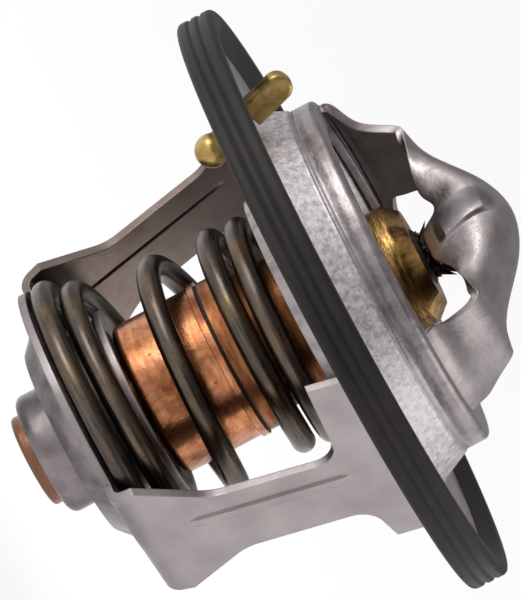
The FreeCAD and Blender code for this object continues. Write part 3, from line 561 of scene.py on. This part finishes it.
def wire_tree():
    """Sweeps a line into wire, stores the length and the side for its finish, and grinds both ends flat."""
    tree, given = new_node_group("coiled_wire", Wire_Radius="Float", Round_Steps="Int", Ground_Low="Float",
                                 Ground_High="Float", Finish="Material")
    line = add(tree, "GeometryNodeMeshToCurve", Mesh=given["Start"])
    length = add(tree, "GeometryNodeSplineParameter").outputs["Length"]
    line = add(tree, "GeometryNodeStoreNamedAttribute", {"domain": "POINT"}, Geometry=line, Name="along",
               Value=length)
    ring = add(tree, "GeometryNodeCurvePrimitiveCircle", Resolution=given["Round Steps"],
               Radius=given["Wire Radius"]).outputs["Curve"]
    spot = add(tree, "GeometryNodeInputPosition")
    spot = add(tree, ARROW, {"operation": "NORMALIZE"}, i0=spot)
    ring = add(tree, "GeometryNodeStoreNamedAttribute", {"domain": "POINT", "data_type": "FLOAT_VECTOR"},
               Geometry=ring, Name="around", Value=spot)
    wire = add(tree, "GeometryNodeCurveToMesh", Curve=line, Profile_Curve=ring, Fill_Caps=True)
    place = add(tree, "ShaderNodeSeparateXYZ", i0=add(tree, "GeometryNodeInputPosition"))
    height = add(tree, "ShaderNodeClamp", Value=place.outputs["Z"], Min=given["Ground Low"],
                 Max=given["Ground High"])
    flat = add(tree, "ShaderNodeCombineXYZ", X=place.outputs["X"], Y=place.outputs["Y"], Z=height)
    wire = add(tree, "GeometryNodeSetPosition", Geometry=wire, Position=flat)
    wire = add(tree, "GeometryNodeSetShadeSmooth", Geometry=wire)
    wire = add(tree, "GeometryNodeRealizeInstances", Geometry=wire)
    wire = add(tree, "GeometryNodeSetMaterial", Geometry=wire, Material=given["Finish"])
    add(tree, "NodeGroupOutput", i0=wire)
    return tree


def grown(name, start, tree, values):
    """A mesh object grown from a start mesh by a node tree, with the tree's inputs set by identifier."""
    carrier = bpy.data.objects.new(name + "_start", start)
    bpy.context.collection.objects.link(carrier)
    modifier = carrier.modifiers.new("nodes", "NODES")
    modifier.node_group = tree
    for item in tree.interface.items_tree:
        if item.in_out == "INPUT" and item.name in values:
            modifier[item.identifier] = values[item.name]
    bpy.context.view_layer.update()
    ready = carrier.evaluated_get(bpy.context.evaluated_depsgraph_get())
    mesh = bpy.data.meshes.new_from_object(ready)
    mesh.name = name
    bpy.data.objects.remove(carrier)
    piece = bpy.data.objects.new(name, mesh)
    bpy.context.collection.objects.link(piece)
    return piece


def coiled_spring():
    """The visible spring: it takes the CAD spring's place and lies between its two seats."""
    points = [spring_point(TURNS * step / WIRE_STEPS) * MM for step in range(WIRE_STEPS + 1)]
    line = bpy.data.meshes.new("wire_line")
    line.from_pydata(points, [(k, k + 1) for k in range(WIRE_STEPS)], [])
    piece = grown("spring_wire", line, wire_tree(), {
        "Wire Radius": WIRE_RADIUS * MM, "Round Steps": WIRE_SIDES, "Finish": WIRE,
        "Ground Low": (SPRING_LOW - WIRE_RADIUS) * MM, "Ground High": (SPRING_HIGH + WIRE_RADIUS) * MM})
    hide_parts("main_spring")
    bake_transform(piece)


coiled_spring()


# Torn lip of the wiper and burrs of the piston's seat, scattered by Geometry Nodes

def shard_tree():
    """Stands thin cones on a ring, each leaning out and shaken in its aim and size."""
    tree, given = new_node_group("torn_lip", Count="Int", Ring_Radius="Float", Height="Float", Length="Float",
                                 Width="Float", Lean="Float", Seed="Int", Finish="Material")
    ring = add(tree, "GeometryNodeMeshCircle", Vertices=given["Count"], Radius=given["Ring Radius"])
    shard = add(tree, "GeometryNodeMeshCone", Vertices=5, Radius_Top=0.0, Radius_Bottom=given["Width"],
                Depth=given["Length"])
    away = add(tree, ARROW, {"operation": "NORMALIZE"}, i0=add(tree, "GeometryNodeInputPosition"))
    away = add(tree, ARROW, {"operation": "SCALE"}, i0=away, Scale=given["Lean"])
    shake = add(tree, "FunctionNodeRandomValue", {"data_type": "FLOAT_VECTOR"}, Min=(-0.6, -0.6, 0.5),
                Max=(0.6, 0.6, 1.2), Seed=given["Seed"])
    aim = add(tree, ARROW, {"operation": "ADD"}, i0=away, i1=shake)
    turn = add(tree, "FunctionNodeAlignRotationToVector", {"axis": "Z"}, Vector=aim)
    size = add(tree, "FunctionNodeRandomValue", {"data_type": "FLOAT_VECTOR"}, Min=(0.6, 0.3, 0.35),
               Max=(1.4, 0.9, 1.3), Seed=add(tree, SUM, {"operation": "ADD"}, i0=given["Seed"], i1=7.0))
    shards = add(tree, "GeometryNodeInstanceOnPoints", Points=ring, Instance=shard, Rotation=turn, Scale=size)
    lift = add(tree, "ShaderNodeCombineXYZ", Z=given["Height"])
    shards = add(tree, "GeometryNodeTransform", Geometry=shards, Translation=lift)
    shards = add(tree, "GeometryNodeRealizeInstances", Geometry=shards)
    shards = add(tree, "GeometryNodeSetMaterial", Geometry=shards, Material=given["Finish"])
    add(tree, "NodeGroupOutput", i0=shards)
    return tree


SHARD_TREE = shard_tree()
SHARD_START = bpy.data.meshes.new("lip_start")
SHARD_START.from_pydata([(0, 0, 0)], [], [])
WIPER_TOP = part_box("piston_wiper")[1][2]

lip_shards = grown("wiper_lip_shards", SHARD_START, SHARD_TREE, {
    "Count": 11, "Ring Radius": 2.2 * MM, "Height": WIPER_TOP, "Length": 0.75 * MM, "Width": 0.36 * MM,
    "Lean": 0.7, "Seed": 3, "Finish": INNER_RUBBER})
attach(lip_shards, "valve")

# Burrs in the same near black steel, dark partly as painted shade of the hollow
seat_burrs = grown("piston_seat_burrs", SHARD_START, SHARD_TREE, {
    "Count": 22, "Ring Radius": 1.7 * MM, "Height": WIPER_TOP + 0.2 * MM, "Length": 1.7 * MM,
    "Width": 0.5 * MM, "Lean": 0.3, "Seed": 11, "Finish": SHADED_DARK_STEEL})
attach(seat_burrs, "housing")
